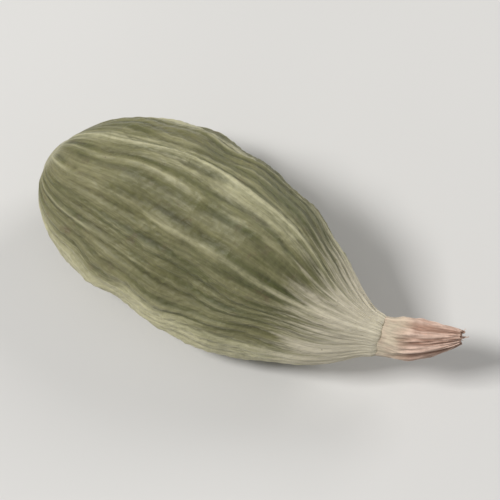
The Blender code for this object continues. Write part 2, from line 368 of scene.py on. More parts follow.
class StageSettings(bpy.types.PropertyGroup):
    """Floor, lights and camera."""

    floor_colour: bpy.props.FloatVectorProperty(
        name="Floor colour", description="Plain pale floor",
        default=(0.62, 0.61, 0.59), subtype="COLOR", size=3, min=0.0, max=1.0)
    floor_size: bpy.props.FloatProperty(
        name="Floor size", description="Half the floor's side", default=0.6, unit="LENGTH")
    azimuth: bpy.props.FloatProperty(
        name="Azimuth", description="Turn of the camera round the pod from the front",
        default=float(np.radians(32.0)), unit="ROTATION")
    elevation: bpy.props.FloatProperty(
        name="Elevation", description="Height of the camera over the horizon",
        default=float(np.radians(68.0)), unit="ROTATION")
    lens: bpy.props.FloatProperty(
        name="Lens", description="Focal length, in millimetres", default=200.0, min=20.0)
    frame_share: bpy.props.FloatProperty(
        name="Frame share", description="Share of the picture's width that the pod takes",
        default=0.78, subtype="FACTOR", min=0.1, max=1.0)
    key_power: bpy.props.FloatProperty(
        name="Key power", description="Power of the main soft light", default=0.58, unit="POWER")
    fill_power: bpy.props.FloatProperty(
        name="Fill power", description="Power of the weaker light behind", default=0.27, unit="POWER")
    sky: bpy.props.FloatProperty(
        name="Sky", description="Strength of the even light from all round", default=0.28, min=0.0)


GROUPS = {
    "pod_husk_form": HuskForm,
    "pod_husk_finish": HuskFinish,
    "pod_remnant_form": RemnantForm,
    "pod_remnant_finish": RemnantFinish,
    "pod_stage": StageSettings,
}


def fade(low, high, value):
    """Smooth step from 0 at low to 1 at high."""
    t = np.clip((value - low) / (high - low), 0.0, 1.0)
    return t * t * (3.0 - 2.0 * t)


def body_radius(s, form):
    """Half a superellipse from the base to the belly, a power curve from there to the apex."""
    towards_base = np.clip(1.0 - s / form.belly_at, 0.0, 1.0)
    towards_apex = np.clip((s - form.belly_at) / (form.body_length - form.belly_at), 0.0, 1.0)
    base_side = np.sqrt(1.0 - towards_base**BASE_BLUNTNESS)
    apex_side = 1.0 - towards_apex**APEX_BLUNTNESS
    return form.belly_radius * np.where(s < form.belly_at, base_side, apex_side)


def husk_radius(s, form):
    """The body's radius blended into the neck's, as the cube root of their cubes' sum."""
    neck = form.neck_radius * fade(form.belly_at, form.body_length, s)
    return np.cbrt(body_radius(s, form) ** 3 + neck**3)


def trigonous(s, end):
    """How three-sided the section is: in part at the base, fully at the belly, not past the end."""
    opening = BASE_SHARE + (1.0 - BASE_SHARE) * fade(0.0, OPENS_BY, s)
    return opening * (1.0 - fade(end - RIDGE_RUN_OUT, end, s))


def section(angle, s, form):
    """Unit section: a circle drawn in at the faces, with a rounded swell at each ridge."""
    radius = 1.0 - (1.0 - FACE_RADIUS) * trigonous(s, form.body_length)
    for ridge, height, end in zip(RIDGE_ANGLES, RIDGE_HEIGHTS, RIDGE_ENDS):
        swell = np.exp(RIDGE_SHARPNESS * (np.cos(angle - ridge) - 1.0))
        radius = radius + height * trigonous(s, end) * swell
    return radius


def column_angle(v, s, form):
    """Angle of a column: even from ridge to ridge, pushed about unevenly, and wandering along s."""
    knots = np.append(RIDGE_ANGLES, RIDGE_ANGLES[0] + TURN)
    even = np.interp(v * 3.0, np.arange(4), knots)
    uneven = 0.040 * np.sin(TURN * (4.0 * v + 0.3)) + 0.030 * np.sin(TURN * (7.0 * v + 0.1))
    along = s / form.body_length
    slow = np.sin(TURN * (1.3 * along + 3.0 * v))
    quick = 0.6 * np.sin(TURN * (2.4 * along + 5.0 * v + 0.16))
    reach = fade(0.0, 0.2, along) * (1.0 - fade(0.7, 1.0, along))
    return even + uneven + VEIN_WANDER * reach * (slow + quick)


def vein_crest(v, s, form):
    """Main veins, 0 to about 1: a power of a raised cosine round the pod.

    Each is multiplied by its own strength, and by a slow sine of s that makes it swell and shrink.
    """
    random = np.random.default_rng(VEIN_SEED)
    strength = random.uniform(VEIN_WEAKEST, 1.0, VEINS)
    strength[:: VEINS // 3] = VEIN_ON_RIDGE
    swell_start = random.uniform(0.0, TURN, VEINS)
    swell_length = random.uniform(*VEIN_SWELL_LENGTHS, VEINS)
    nearest = np.round(v * VEINS).astype(int) % VEINS
    crest = (0.5 + 0.5 * np.cos(TURN * v * VEINS)) ** VEIN_POWER
    swelling = np.sin(TURN * s / swell_length[nearest] + swell_start[nearest])
    height = strength[nearest] * (1.0 - VEIN_SWELLING * (1.0 - swelling))
    return height * crest


def vein_reach(s, form):
    """Share of their height that the veins keep: a power of the radius, faded in at the base."""
    return (husk_radius(s, form) / form.belly_radius) ** 0.8 * fade(*VEIN_STARTS, s)


def seed_relief(angle, s):
    """Soft bulges in two rows beside each ridge, half a pitch out of step with each other.

    Each row is a cosine of s times an exponential of the cosine of the turn from the row.
    """
    relief = np.zeros(np.broadcast(angle, s).shape)
    for number, ridge in enumerate(RIDGE_ANGLES):
        for side in (-1.0, 1.0):
            off_row = np.cos(angle - ridge - side * SEED_ROW_ANGLE) - 1.0
            step = np.cos(TURN * (s / SEED_PITCH + 0.25 * side + 0.3 * number))
            relief = relief + SEED_BULGE * np.exp(SEED_ROW_SHARPNESS * off_row) * step
    return relief * fade(*SEED_ROW_STARTS, s) * (1.0 - fade(*SEED_ROW_ENDS, s))


def hollow_relief(angle, s):
    """The shallow hollows: each is a depth times a bell curve of turn and distance."""
    relief = np.zeros(np.broadcast(angle, s).shape)
    for middle, distance, depth, half_width, half_length in HOLLOWS:
        turned = np.sin(0.5 * (angle - middle)) * 2.0 / half_width
        relief = relief - depth * np.exp(-(turned**2) - ((s - distance) / half_length) ** 2)
    return relief


def waves(seed, count, round_cycles, wave_lengths, v, s):
    """Sum of count sine waves of seeded direction: whole cycles round the pod, any length along it.

    The result has a spread of about 1, and it closes on itself from v = 1 back to v = 0.
    """
    random = np.random.default_rng(seed)
    total = np.zeros(np.broadcast(v, s).shape)
    for _ in range(count):
        cycles = random.integers(round_cycles[0], round_cycles[1] + 1) * random.choice((-1, 1))
        length = random.uniform(*wave_lengths)
        total = total + np.sin(TURN * (cycles * v + s / length + random.uniform()))
    return total * np.sqrt(2.0 / count)


def paleness(v, angle):
    """How pale the skin is, 0 to 1: a line on each vein, or a soft band along each pale edge.

    A line is a power of a raised cosine. A band is an exponential of the cosine of the turn from
    its middle, and bands add up.
    """
    random = np.random.default_rng(TONE_SEED)
    tone = random.uniform(*VEIN_TONES, VEINS)
    tone[:: VEINS // 3] = RIDGE_TONE
    nearest = np.round(v * VEINS).astype(int) % VEINS
    line = tone[nearest] * (0.5 + 0.5 * np.cos(TURN * v * VEINS)) ** LINE_POWER
    bands = np.zeros(np.broadcast(v, angle).shape)
    for middle, sharpness, strength in PALE_BANDS:
        bands = bands + strength * np.exp(sharpness * (np.cos(angle - middle) - 1.0))
    return np.maximum(line, bands)


def rib_relief(v, s):
    """Narrow ribs on the veins and between them: powers of a raised cosine round the pod.

    Each rib has its own strength, bends a little, and comes and goes along the pod.
    """
    random = np.random.default_rng(RIB_SEED)
    bend = waves(*RIB_BENDS, v, s)
    relief = np.zeros(np.broadcast(v, s).shape)
    for number, (shift, power, height) in enumerate(RIBS):
        phase = v * VEINS - shift + RIB_BEND * bend
        nearest = np.round(phase).astype(int) % VEINS
        strength = random.uniform(*RIB_STRENGTHS, VEINS)[nearest]
        comes = waves(RIB_PATCH_SEED + number, *RIB_PATCHES, v, s)
        line = (0.5 + 0.5 * np.cos(TURN * phase)) ** power
        relief = relief + height * strength * (0.82 + 0.18 * np.tanh(1.5 * comes)) * line
    return relief


def cross_wrinkles(v, s):
    """Short wrinkles across the gaps between ribs, 0 to 1: narrow folds of a bent sine in s.

    Each gap has its own pitch and start, and patches of waves say where the wrinkles are strong.
    """
    random = np.random.default_rng(WRINKLE_SEED)
    gaps = 2 * VEINS
    gap = np.floor(v * gaps).astype(int) % gaps
    start = random.uniform(0.0, 1.0, gaps)[gap]
    pitch = random.uniform(*WRINKLE_PITCHES, gaps)[gap]
    bend = waves(*WRINKLE_BENDS, v, s)
    fold = np.abs(np.cos(np.pi * (s / pitch + start + WRINKLE_BEND * bend)))
    patch = waves(*WRINKLE_PATCHES, v, s)
    between = np.abs(np.sin(np.pi * v * gaps)) ** 1.2
    return (1.0 - fold**0.7) * fade(*WRINKLE_PATCHINESS, patch) * between


def axis_point(s, form):
    """Axis of the pod: a parabola that bows in Y, with the neck's hook as a second parabola."""
    hook = 0.5 * HOOK_RATE * np.maximum(s - HOOK_START, 0.0) ** 2
    y = hook * HOOK_DIRECTION[0] - AXIS_BOW * (s - form.belly_at) ** 2
    z = hook * HOOK_DIRECTION[1] + form.axis_height
    return np.stack(np.broadcast_arrays(s - REST_AT, y, z), axis=-1)


def axis_frame(s, form):
    """Unit vectors along the axis, across it and up from it."""
    slope = HOOK_RATE * np.maximum(s - HOOK_START, 0.0)
    along_y = slope * HOOK_DIRECTION[0] - 2.0 * AXIS_BOW * (s - form.belly_at)
    along = np.stack(np.broadcast_arrays(1.0, along_y, slope * HOOK_DIRECTION[1]), axis=-1)
    along = along / np.linalg.norm(along, axis=-1, keepdims=True)
    across = np.cross([0.0, 0.0, 1.0], along)
    across = across / np.linalg.norm(across, axis=-1, keepdims=True)
    return along, across, np.cross(along, across)


def ring_points(s, radius, angle, form, flatness=1.0):
    """Points at this radius and angle in the plane square to the axis at s."""
    along, across, up = axis_frame(s, form)
    sideways = (radius * np.cos(angle))[..., None]
    upwards = (radius * np.sin(angle) * flatness)[..., None]
    return axis_point(s, form) + across * sideways + up * upwards


def scar_push(radius):
    """Push along the axis at the base: back inside the dimple, out at the collar."""
    collar = SCAR_COLLAR * np.exp(-(((radius - SCAR_RADIUS) / SCAR_COLLAR_WIDTH) ** 2))
    dimple = SCAR_DIMPLE * np.exp(-((radius / SCAR_DIMPLE_RADIUS) ** 2))
    return dimple - collar


def husk_surface(v, s, form):
    """Outer skin, and what its finish reads: body radius times unit section, plus the relief.

    The base is slanted, with the scar pushed in and its collar out, and the underside is cut flat.
    The fields are: rib, the narrow ribs; raised, how far a point stands over its surroundings
    round the pod; wrinkle, the cross wrinkles; tone, how pale its lines and edges are; back,
    nearness to the back face, painted greener and darker, partly its own green and partly
    painted shade; along, the share of the length; scar, the distance from the stalk scar's
    middle in mm; and skin, a place that closes on itself round the pod.
    """
    angle = column_angle(v, s, form)
    plain = husk_radius(s, form)
    flatness = form.height_to_width + (1.0 - form.height_to_width) * fade(form.belly_at, form.body_length, s)
    reach = vein_reach(s, form)
    crest = vein_crest(v, s, form)
    ribs = rib_relief(v, s)
    wrinkle = cross_wrinkles(v, s)
    shrink = waves(*SHRINK_WAVES, v, s)
    pucker = waves(*PUCKER_WAVES, v, s)
    grain = waves(*GRAIN_WAVES, v, s)
    fine = form.vein_height * crest + ribs - form.wrinkle_height * wrinkle
    fine = fine + form.pucker_height * pucker + form.grain_height * grain
    steps = range(-NEIGHBOUR_COLUMNS, NEIGHBOUR_COLUMNS + 1)
    around = np.mean([np.roll(fine, step, axis=1) for step in steps], axis=0)
    relief = (fine + form.shrink_height * shrink) * reach
    relief = relief + seed_relief(angle, s) + hollow_relief(angle, s)
    points = ring_points(s, plain * section(angle, s, form) + relief, angle, form, flatness)
    slant = BASE_SLANT * np.exp(-s / BASE_SLANT_REACH)
    points[..., 0] += slant * points[..., 1] + scar_push(plain) * (s < form.belly_at)
    points[..., 2] = np.maximum(points[..., 2], 0.0)
    scar = np.where(s < form.belly_at, plain / MM, form.belly_radius / MM)
    turned = TURN * v
    skin = (form.belly_radius * np.cos(turned), form.belly_radius * np.sin(turned), s)
    fields = {
        "rib": ribs / RIB_FULL_HEIGHT,
        "raised": 0.5 + (fine - around) / RAISED_SPAN,
        "wrinkle": wrinkle,
        "tone": paleness(v, angle),
        "back": fade(*SHADED_BACK_NEARNESS, np.cos(angle - SHADED_BACK_ANGLE)),
        "along": s / form.neck_end,
        "scar": scar,
        "skin": np.stack(np.broadcast_arrays(*skin), axis=-1),
    }
    shape = points.shape[:2]
    for name, field in fields.items():
        fields[name] = np.array(np.broadcast_to(field, shape + field.shape[2:]))
    return points, fields


def base_point(form):
    """The middle of the stalk scar, where all columns meet."""
    return husk_surface(np.zeros((1, 1)), np.zeros((1, 1)), form)[0][0, 0]


def tube_faces(rows, columns):
    """Corners and corner counts of a closed tube's faces: a point, rings and a point, facing out."""
    here = 1 + np.arange(rows * columns).reshape(rows, columns)
    ahead = np.roll(here, -1, axis=1)
    quads = np.stack([here[:-1], ahead[:-1], ahead[1:], here[1:]], axis=-1).reshape(-1, 4)
    first = np.stack([np.zeros(columns, int), ahead[0], here[0]], axis=-1)
    final = np.stack([here[-1], ahead[-1], np.full(columns, rows * columns + 1)], axis=-1)
    corners = np.concatenate([first.ravel(), quads.ravel(), final.ravel()])
    sides = np.concatenate([np.full(columns, 3), np.full(len(quads), 4), np.full(columns, 3)])
    return corners, sides


def mesh_object(name, points, corners, sides, fields):
    """A smooth object from points and faces, with each field kept as an attribute of the points."""
    mesh = bpy.data.meshes.new(name)
    mesh.vertices.add(len(points))
    mesh.vertices.foreach_set("co", points.ravel())
    mesh.loops.add(len(corners))
    mesh.loops.foreach_set("vertex_index", corners.astype(np.int32))
    mesh.polygons.add(len(sides))
    mesh.polygons.foreach_set("loop_start", (np.cumsum(sides) - sides).astype(np.int32))
    mesh.update(calc_edges=True)
    for field_name, field in fields.items():
        kind, key = ("FLOAT_VECTOR", "vector") if field.shape[1] == 3 else ("FLOAT", "value")
        attribute = mesh.attributes.new(field_name, kind, "POINT")
        attribute.data.foreach_set(key, field.ravel().astype(np.float32))
    mesh.shade_smooth()
    piece = bpy.data.objects.new(name, mesh)
    bpy.context.scene.collection.objects.link(piece)
    return piece


def stacked_rings(name, start, rings, finish, fields):
    """One closed mesh from a point, a grid of rings and a point.

    Each field is a grid like the rings; the end points take the mean of the ring beside them.
    """
    rows, columns = rings.shape[:2]
    points = np.concatenate([start[None, :], rings.reshape(-1, 3), finish[None, :]])
    wholes = {}
    for field_name, field in fields.items():
        first = field[0].reshape(columns, -1).mean(0, keepdims=True)
        final = field[-1].reshape(columns, -1).mean(0, keepdims=True)
        wholes[field_name] = np.concatenate([first, field.reshape(rows * columns, -1), final])
    return mesh_object(name, points, *tube_faces(rows, columns), wholes)


def thread_bunch(name, seed, count, middle, ways, reach, lean, lengths):
    """Thin closed threads on a small disc: each leans out, bends as t squared and tapers with t.

    The ways are three vectors: out of the disc and twice across it.
    """
    random = np.random.default_rng(seed)
    turn = (TURN * (np.arange(count) + random.uniform(-0.3, 0.3, count)) / count)[:, None]
    side = np.cos(turn) * ways[1] + np.sin(turn) * ways[2]
    roots = middle + random.uniform(*reach, (count, 1)) * side
    start = ways[0] + random.uniform(0.0, lean, (count, 1)) * side
    start = start / np.linalg.norm(start, axis=-1, keepdims=True)
    bend = random.uniform(-0.5, 0.5, (count, 3))
    t = np.linspace(0.0, 1.0, THREAD_ROWS)[None, :, None]
    length = random.uniform(*lengths, (count, 1, 1))
    centre = roots[:, None] + length * (start[:, None] * t + bend[:, None] * t**2)
    first = np.cross(start, bend)
    first = first / np.linalg.norm(first, axis=-1, keepdims=True)
    around = TURN * np.arange(THREAD_COLUMNS)[None, :, None] / THREAD_COLUMNS
    outward = np.cos(around) * first[:, None] + np.sin(around) * np.cross(start, first)[:, None]
    radius = random.uniform(*THREAD_RADII, (count, 1, 1)) * (1.0 - THREAD_TAPER * t)
    rings = centre[:, :, None] + radius[..., None] * outward[:, None]
    whole = np.concatenate([centre[:, :1], rings.reshape(count, -1, 3), centre[:, -1:]], axis=1)
    corners, sides = tube_faces(THREAD_ROWS, THREAD_COLUMNS)
    corners = corners + whole.shape[1] * np.arange(count)[:, None]
    share = np.concatenate([[0.0], np.repeat(t.ravel(), THREAD_COLUMNS), [1.0]])
    fields = {"along": np.tile(share, count)[:, None]}
    return mesh_object(name, whole.reshape(-1, 3), corners.ravel(), np.tile(sides, count), fields)


def husk_piece(form):
    """Skin from the stalk scar to the neck's rim, then over the rim and down into the socket."""
    u = np.arange(1, HUSK_ROWS + 1) / HUSK_ROWS
    s = (form.neck_end * u**2 / (u + ROW_CROWDING * (1.0 - u)))[:, None]
    v = (np.arange(HUSK_COLUMNS) / HUSK_COLUMNS)[None, :]
    outer, fields = husk_surface(v, s, form)
    end = axis_point(form.neck_end, form)
    axis = axis_point(s, form)
    rounding = RIM_ROUNDING * fade(form.neck_end - RIM_ROUNDING_REACH, form.neck_end, s)[..., None] ** 2
    outer = outer - rounding * (outer - axis)
    along = axis_frame(form.neck_end, form)[0]
    angle = column_angle(v[0], form.neck_end, form)
    mouth = ring_points(form.neck_end, np.full(HUSK_COLUMNS, form.socket_radius), angle, form)
    crown = 0.5 * (outer[-1] + mouth) + RIM_CROWN * along
    depths = np.linspace(0.0, form.socket_depth, SOCKET_ROWS)[:, None, None]
    socket = mouth[None] - depths * along
    rings = np.concatenate([outer, crown[None], socket])
    added = len(rings) - len(outer)
    for name, field in fields.items():
        fields[name] = np.concatenate([field, np.repeat(field[-1:], added, axis=0)])
    return stacked_rings("husk_skin", base_point(form), rings, end - form.socket_depth * along, fields)


def neck_outline(angle, form):
    """Radius of the neck's end at each angle round it, read from the skin's last ring."""
    v = (np.arange(HUSK_COLUMNS) / HUSK_COLUMNS)[None, :]
    ring = husk_surface(v, np.full((1, 1), form.neck_end), form)[0][0] - axis_point(form.neck_end, form)
    along, across, up = axis_frame(form.neck_end, form)
    place = np.arctan2(ring @ up, ring @ across)
    return np.interp(angle, place, np.hypot(ring @ up, ring @ across), period=TURN)


def pleat_round(angle):
    """The flower's pleats with broader ones under them: a sum of two cosines."""
    return np.cos(PLEATS * angle + PLEATS_START) + BROAD_PLEAT_SHARE * np.cos(BROAD_PLEATS * angle)


def flower_profile(w):
    """Radius of the flower before its pleats: straight lines between stations, smoothed."""
    stations = np.linspace(0.0, REMNANT_STATIONS[-1], PROFILE_POINTS)
    curve = np.interp(stations, REMNANT_STATIONS, REMNANT_RADII)
    padded = np.pad(curve, PROFILE_SMOOTHING // 2, "edge")
    smooth = np.convolve(padded, np.full(PROFILE_SMOOTHING, 1.0 / PROFILE_SMOOTHING), "valid")
    return np.interp(w, stations, smooth)


def flower_outside(angle, share, w, form, husk):
    """Radius, lift along the axis and height of the pleats, 0 to 1, on the flower's outside.

    The radius is the profile times broad and narrow pleats, plus crinkles of short waves. It is
    gathered at the end, and at the start it is led over the neck's rim as a skirt. The lift is a
    sum of waves at the torn rim, less the skirt's uneven lap over the neck.
    """
    pleat = pleat_round(angle)
    bend = waves(*PLEAT_BENDS, angle / TURN, w)
    narrow = np.cos(NARROW_PLEATS * angle + NARROW_PLEAT_BEND * bend)
    crinkle = waves(*CRINKLE_WAVES, angle / TURN, w)
    pleated = 1.0 + form.pleat_depth * fade(0.0, 0.4, share) * (pleat + NARROW_PLEAT_SHARE * narrow)
    radius = flower_profile(w) * pleated
    radius = radius + form.crinkle_height * fade(0.0, 0.15, share) * crinkle
    radius = radius * (1.0 - END_GATHER * fade(0.86, 1.0, share) ** 2)
    skirt = 1.0 - fade(0.0, SKIRT_SHARE, share)
    radius = radius + skirt * (SKIRT_INSET * neck_outline(angle, husk) - radius)
    ragged = form.ragged_height * (np.sin(3.0 * angle + 1.0) + 0.6 * np.sin(5.0 * angle))
    torn = TORN_HEIGHT * np.abs(waves(*TORN_WAVES, angle / TURN, 0.0))
    uneven = 1.0 + SKIRT_UNEVENNESS * waves(*SKIRT_WAVES, angle / TURN, 0.0)
    lift = (ragged + torn) * fade(0.6, 1.0, share) - SKIRT_OVERLAP * uneven * skirt**2
    return radius, lift, 0.5 + 0.25 * (pleat + 0.6 * narrow)


def flower_ring(distance, radius, lift, angle, husk):
    """Rings round the flower's axis, which runs on from the neck and bends as a parabola.

    Each has this radius at this distance past the neck, and each point is lifted along the neck.
    """
    distance, radius, lift = np.broadcast_arrays(distance, radius, lift)
    along, across, up = axis_frame(husk.neck_end, husk)
    curl = HOOK_DIRECTION[0] * across + HOOK_DIRECTION[1] * up
    outward = np.cos(angle)[..., None] * across + np.sin(angle)[..., None] * up
    bent = 0.5 * REMNANT_CURL * np.maximum(distance, 0.0)[..., None] ** 2 * curl
    centre = axis_point(husk.neck_end, husk) + (distance + lift)[..., None] * along + bent
    return centre + outward * radius[..., None]


def remnant_piece(form, husk):
    """Withered flower: root in the socket, pleated to a torn rim, then in to the mouth's bottom.

    The lining goes straight in towards the mouth's middle while it sinks as a cube.
    """
    angle = TURN * np.arange(REMNANT_COLUMNS)[None, :] / REMNANT_COLUMNS
    top = REMNANT_GAP + RIM_CROWN
    bottom = REMNANT_GAP - husk.socket_depth
    share = np.linspace(0.0, 1.0, REMNANT_ROWS)[:, None]
    w = top + share * (form.length - top)
    radius, lift, height = flower_outside(angle, share, w, form, husk)
    inward = np.linspace(0.0, 1.0, LINING_ROWS + 1)[1:, None]
    mouth_radius = MOUTH_SHARE * REMNANT_RADII[-1] * (1.0 + form.pleat_depth * pleat_round(angle))
    edge = radius[-1:] - ROLL_IN
    lining_radius = edge + (0.6 * mouth_radius - edge) * inward
    lining_at = form.length - form.mouth_depth * inward**3

    level = np.zeros_like(angle)
    root = flower_ring(np.array([[bottom], [top]]), husk.socket_radius - REMNANT_GAP, level, angle, husk)
    outer = flower_ring(w, radius, lift, angle, husk)
    lining = flower_ring(lining_at, lining_radius, lift[-1:] * (1.0 - inward) ** 2, angle, husk)
    rings = np.concatenate([root, outer, lining])

    grid = rings.shape[:2]
    inside = np.zeros((len(rings), 1))
    inside[-len(lining):] = inward
    placed = np.concatenate([np.zeros((len(root), 1)), share, np.ones((len(lining), 1))])
    pleat = np.zeros(grid)
    pleat[len(root):-len(lining)] = height
    skin = (MM * np.cos(angle), MM * np.sin(angle), REMNANT_STATIONS[-1] * placed)
    fields = {
        "inside": np.broadcast_to(inside, grid),
        "along": np.broadcast_to(placed, grid),
        "pleat": np.clip(pleat, 0.0, 1.0),
        "skin": np.stack(np.broadcast_arrays(*skin), axis=-1),
    }
    along = axis_frame(husk.neck_end, husk)[0]
    start = axis_point(husk.neck_end, husk) + bottom * along
    return stacked_rings("withered_flower", start, rings, rings[-1].mean(axis=0), fields)


def scar_threads(form):
    """Broken ends of the stalk's strands, in the scar's dimple."""
    ways = np.array([[-1.0, 0.0, 0.0], [0.0, 1.0, 0.0], [0.0, 0.0, 1.0]])
    return thread_bunch(
        "stalk_strands", SCAR_SEED, SCAR_THREADS, base_point(form), ways,
        reach=SCAR_REACH, lean=SCAR_LEAN, lengths=SCAR_LENGTHS)


def mouth_threads(form, husk):
    """Withered threads of the flower, curling out of its mouth."""
    along, across, up = axis_frame(husk.neck_end, husk)
    curl = HOOK_DIRECTION[0] * across + HOOK_DIRECTION[1] * up
    deep = form.length - form.mouth_depth - MOUTH_ROOT
    middle = axis_point(husk.neck_end, husk) + deep * along + 0.5 * REMNANT_CURL * deep**2 * curl
    ways = (along + MOUTH_CURL * curl, across, up)
    return thread_bunch(
        "flower_threads", MOUTH_SEED, MOUTH_THREADS, middle, ways,
        reach=MOUTH_REACH, lean=MOUTH_LEAN, lengths=MOUTH_LENGTHS)


class Nodes:
    """Short ways to add nodes to one material and to join them."""

    def __init__(self, name):
        self.material = bpy.data.materials.new(name)
        self.material.use_nodes = True
        self.tree = self.material.node_tree
        self.shader = self.tree.nodes["Principled BSDF"]

    def put(self, socket, value):
        """Join an output to a socket, or set the socket's own value."""
        if isinstance(value, bpy.types.NodeSocket):
            self.tree.links.new(value, socket)
        else:
            socket.default_value = value

    def attribute(self, name, output="Fac"):
        """A field that the mesh carries."""
        node = self.tree.nodes.new("ShaderNodeAttribute")
        node.attribute_name = name
        return node.outputs[output]

    def place(self):
        """The place of a point, in metres."""
        return self.tree.nodes.new("ShaderNodeTexCoord").outputs["Object"]

    def stretch(self, vector, scale):
        """The vector scaled along each axis; below 1 a pattern is drawn out that way."""
        node = self.tree.nodes.new("ShaderNodeMapping")
        self.put(node.inputs["Vector"], vector)
        node.inputs["Scale"].default_value = scale
        return node.outputs["Vector"]

    def noise(self, vector, scale, detail=4.0, roughness=0.55, distortion=0.0):
        """Cloudy noise, about 0.25 to 0.75."""
        node = self.tree.nodes.new("ShaderNodeTexNoise")
        self.put(node.inputs["Vector"], vector)
        node.inputs["Scale"].default_value = scale
        node.inputs["Detail"].default_value = detail
        node.inputs["Roughness"].default_value = roughness
        node.inputs["Distortion"].default_value = distortion
        return node.outputs["Fac"]

    def cells(self, vector, scale):
        """Distance from the nearest of many scattered points, in cells."""
        node = self.tree.nodes.new("ShaderNodeTexVoronoi")
        self.put(node.inputs["Vector"], vector)
        node.inputs["Scale"].default_value = scale
        return node.outputs["Distance"]

    def ramp(self, value, low, high, start=0.0, end=1.0):
        """The value mapped smoothly from low..high to start..end."""
        node = self.tree.nodes.new("ShaderNodeMapRange")
        node.interpolation_type = "SMOOTHSTEP"
        self.put(node.inputs["Value"], value)
        for key, number in (("From Min", low), ("From Max", high), ("To Min", start), ("To Max", end)):
            node.inputs[key].default_value = number
        return node.outputs["Result"]

    def math(self, operation, first, second=0.0):
        """One operation on one or two values."""
        node = self.tree.nodes.new("ShaderNodeMath")
        node.operation = operation
        self.put(node.inputs[0], first)
        self.put(node.inputs[1], second)
        return node.outputs[0]

    def times(self, first, second):
        """The product of two values."""
        return self.math("MULTIPLY", first, second)

    def mix(self, share, first, second, blend="MIX"):
        """Colour mix of two colours by a share."""
        node = self.tree.nodes.new("ShaderNodeMix")
        node.data_type = "RGBA"
        node.blend_type = blend
        self.put(node.inputs["Factor"], share)
        self.put(node.inputs["A"], first)
        self.put(node.inputs["B"], second)
        return node.outputs["Result"]

    def bump(self, height, distance, strength=1.0, below=None):
        """Small relief in the shading alone, on top of the relief below it."""
        node = self.tree.nodes.new("ShaderNodeBump")
        node.inputs["Distance"].default_value = distance
        node.inputs["Strength"].default_value = strength
        self.put(node.inputs["Height"], height)
        if below is not None:
            self.put(node.inputs["Normal"], below)
        return node.outputs["Normal"]


def opaque(colour):
    """The colour with full alpha."""
    return (*colour, 1.0)


